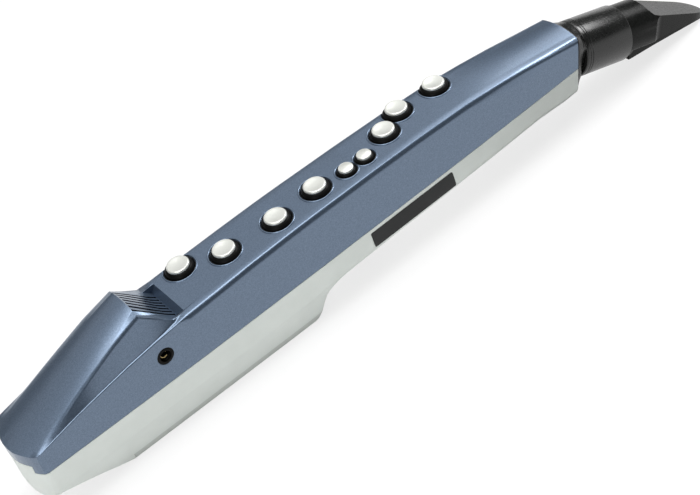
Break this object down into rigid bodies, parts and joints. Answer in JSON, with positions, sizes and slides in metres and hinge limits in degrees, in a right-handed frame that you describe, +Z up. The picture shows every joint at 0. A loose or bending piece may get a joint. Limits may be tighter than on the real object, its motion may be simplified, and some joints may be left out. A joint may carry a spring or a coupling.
{
  "type": "digital wind controller",
  "caption": "Straight electronic wind instrument with round finger keys, a raised slotted speaker hood, a battery belly and a black mouthpiece on a round neck.",
  "frame": {"origin": "under the middle of the bounding box, on the table that the part lies on", "axes": "+X from the speaker end towards the mouthpiece, +Z up out of the key face, -Y towards the phones jack side"},
  "size_m": [0.4496, 0.04, 0.0771],
  "materials": {
    "blue_cover": "satin metallic blue-grey paint",
    "grey_cover": "fine matte light grey",
    "silver_key": "satin silver",
    "black_key": "satin black",
    "mouthpiece_black": "smooth satin black",
    "black_plastic": "satin black",
    "black_rubber": "matte",
    "circuit_board": "glass fibre board",
    "steel": "plain",
    "speaker_paper": "matte paper",
    "brass_contact": "polished",
    "battery": "plain sleeve",
    "clear_plastic": "smooth"
  },
  "bodies": {
    "housing": {"front_cover": "blue_cover", "rear_cover": "grey_cover", "key_frame": "black_plastic", "key_board": "circuit_board", "key_pad": "black_rubber", "speaker_baffle": "black_plastic", "speaker_basket": "steel", "speaker_cone": "speaker_paper", "speaker_magnet": "steel", "battery_1": "battery", "battery_2": "battery", "battery_3": "battery", "battery_4": "battery", "battery_tray": "black_plastic", "contact_plate": "steel", "battery_spring_left": "steel", "battery_spring_right": "steel", "main_board": "circuit_board", "back_pad": "black_rubber", "thumb_hook": "black_plastic", "thumb_rest": "black_rubber", "strap_ring": "steel", "indicator_lens": "clear_plastic", "phones_jack": "black_plastic", "jack_contact": "brass_contact", "usb_port": "steel", "jack_board": "circuit_board", "neck_collar": "black_plastic", "neck_barrel": "black_plastic", "tenon_seal": "black_rubber", "breath_tube": "clear_plastic", "breath_sensor": "black_plastic"},
    "finger_key_1": {"finger_key_1": "silver_key", "finger_key_1_base": "black_key"},
    "finger_key_2": {"finger_key_2": "silver_key", "finger_key_2_base": "black_key"},
    "finger_key_3": {"finger_key_3": "silver_key", "finger_key_3_base": "black_key"},
    "finger_key_4": {"finger_key_4": "silver_key", "finger_key_4_base": "black_key"},
    "side_key_1": {"side_key_1": "silver_key", "side_key_1_base": "black_key"},
    "side_key_2": {"side_key_2": "silver_key", "side_key_2_base": "black_key"},
    "finger_key_5": {"finger_key_5": "silver_key", "finger_key_5_base": "black_key"},
    "finger_key_6": {"finger_key_6": "silver_key", "finger_key_6_base": "black_key"},
    "finger_key_7": {"finger_key_7": "silver_key", "finger_key_7_base": "black_key"},
    "octave_key_low": {"octave_key_low": "silver_key"},
    "octave_key_high": {"octave_key_high": "silver_key"},
    "power_button": {"power_button": "black_rubber"},
    "tone_button": {"tone_button": "black_rubber"},
    "volume_down_button": {"volume_down_button": "black_rubber"},
    "volume_up_button": {"volume_up_button": "black_rubber"},
    "battery_cover": {"battery_cover": "grey_cover"},
    "mouthpiece": {"mouthpiece": "mouthpiece_black", "reed": "mouthpiece_black"}
  },
  "joints": [
    {"name": "finger_key_1_press", "type": "slide", "parent": "housing", "child": "finger_key_1", "axis": [0.0432, 0, -0.9991], "range_m": [0, 0.0015], "stiffness_N_per_m": 400, "springref_m": -0.0008},
    {"name": "finger_key_2_press", "type": "slide", "parent": "housing", "child": "finger_key_2", "axis": [0.0432, 0, -0.9991], "range_m": [0, 0.0015], "stiffness_N_per_m": 400, "springref_m": -0.0008},
    {"name": "finger_key_3_press", "type": "slide", "parent": "housing", "child": "finger_key_3", "axis": [0.0172, 0, -0.9999], "range_m": [0, 0.0015], "stiffness_N_per_m": 400, "springref_m": -0.0008},
    {"name": "finger_key_4_press", "type": "slide", "parent": "housing", "child": "finger_key_4", "axis": [0, 0, -1], "range_m": [0, 0.0015], "stiffness_N_per_m": 400, "springref_m": -0.0008},
    {"name": "side_key_1_press", "type": "slide", "parent": "housing", "child": "side_key_1", "axis": [-0.0062, 0, -1], "range_m": [0, 0.0015], "stiffness_N_per_m": 400, "springref_m": -0.0008},
    {"name": "side_key_2_press", "type": "slide", "parent": "housing", "child": "side_key_2", "axis": [-0.0111, 0, -0.9999], "range_m": [0, 0.0015], "stiffness_N_per_m": 400, "springref_m": -0.0008},
    {"name": "finger_key_5_press", "type": "slide", "parent": "housing", "child": "finger_key_5", "axis": [-0.0198, 0, -0.9998], "range_m": [0, 0.0015], "stiffness_N_per_m": 400, "springref_m": -0.0008},
    {"name": "finger_key_6_press", "type": "slide", "parent": "housing", "child": "finger_key_6", "axis": [-0.0328, 0, -0.9995], "range_m": [0, 0.0015], "stiffness_N_per_m": 400, "springref_m": -0.0008},
    {"name": "finger_key_7_press", "type": "slide", "parent": "housing", "child": "finger_key_7", "axis": [-0.0514, 0, -0.9987], "range_m": [0, 0.0015], "stiffness_N_per_m": 400, "springref_m": -0.0008},
    {"name": "octave_key_low_press", "type": "slide", "parent": "housing", "child": "octave_key_low", "axis": [0, 0, 1], "range_m": [0, 0.0008], "stiffness_N_per_m": 500, "springref_m": -0.0008},
    {"name": "octave_key_high_press", "type": "slide", "parent": "housing", "child": "octave_key_high", "axis": [0, 0, 1], "range_m": [0, 0.0008], "stiffness_N_per_m": 500, "springref_m": -0.0008},
    {"name": "power_button_press", "type": "slide", "parent": "housing", "child": "power_button", "axis": [0, 0, 1], "range_m": [0, 0.0008], "stiffness_N_per_m": 500, "springref_m": -0.0008},
    {"name": "tone_button_press", "type": "slide", "parent": "housing", "child": "tone_button", "axis": [0, 0, 1], "range_m": [0, 0.0008], "stiffness_N_per_m": 500, "springref_m": -0.0008},
    {"name": "volume_down_button_press", "type": "slide", "parent": "housing", "child": "volume_down_button", "axis": [0, 0, 1], "range_m": [0, 0.0008], "stiffness_N_per_m": 500, "springref_m": -0.0008},
    {"name": "volume_up_button_press", "type": "slide", "parent": "housing", "child": "volume_up_button", "axis": [0, 0, 1], "range_m": [0, 0.0008], "stiffness_N_per_m": 500, "springref_m": -0.0008},
    {"name": "battery_cover_off", "type": "slide", "parent": "housing", "child": "battery_cover", "axis": [0, 0, -1], "range_m": [0, 0.03]},
    {"name": "mouthpiece_off", "type": "slide", "parent": "housing", "child": "mouthpiece", "axis": [0.9531, 0, -0.3027], "range_m": [0, 0.02]}
  ]
}
